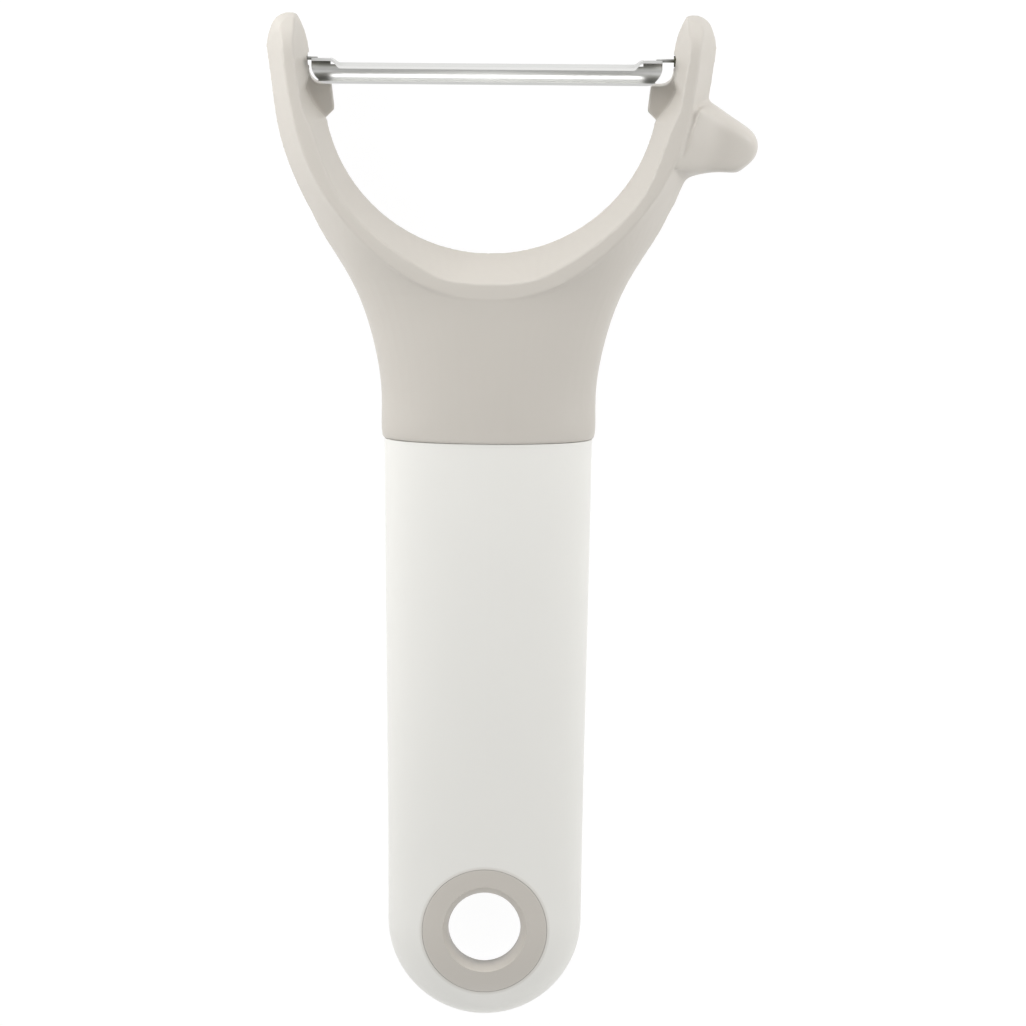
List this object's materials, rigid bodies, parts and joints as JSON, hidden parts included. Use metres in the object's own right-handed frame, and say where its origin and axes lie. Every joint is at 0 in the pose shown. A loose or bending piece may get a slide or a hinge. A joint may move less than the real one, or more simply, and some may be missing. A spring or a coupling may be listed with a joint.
{
  "type": "vegetable peeler",
  "caption": "Y-shaped vegetable peeler with a swivelling steel blade between two arms, an eye remover, and an oval grip with a hang hole.",
  "frame": {"origin": "centre of the hang hole at mid depth", "axes": "+Y along the peeler from the hang hole to the arm tips, +Z out of the front face, +X to the arm with the eye remover"},
  "size_m": [0.0785, 0.1602, 0.0186],
  "materials": {
    "head_plastic": "satin moulded, warm grey beige",
    "grip_plastic": "satin moulded, off-white",
    "blade_steel": "polished stainless sheet"
  },
  "bodies": {
    "handle": {"head_frame": "head_plastic", "grip_sleeve": "grip_plastic", "hang_ring": "head_plastic"},
    "blade": {"blade": "blade_steel"}
  },
  "joints": [
    {"name": "blade_swivel", "type": "hinge", "parent": "handle", "child": "blade", "pos_m": [0, 0.1389, 0], "axis": [1, 0, 0], "range_deg": [-7, 40]}
  ]
}
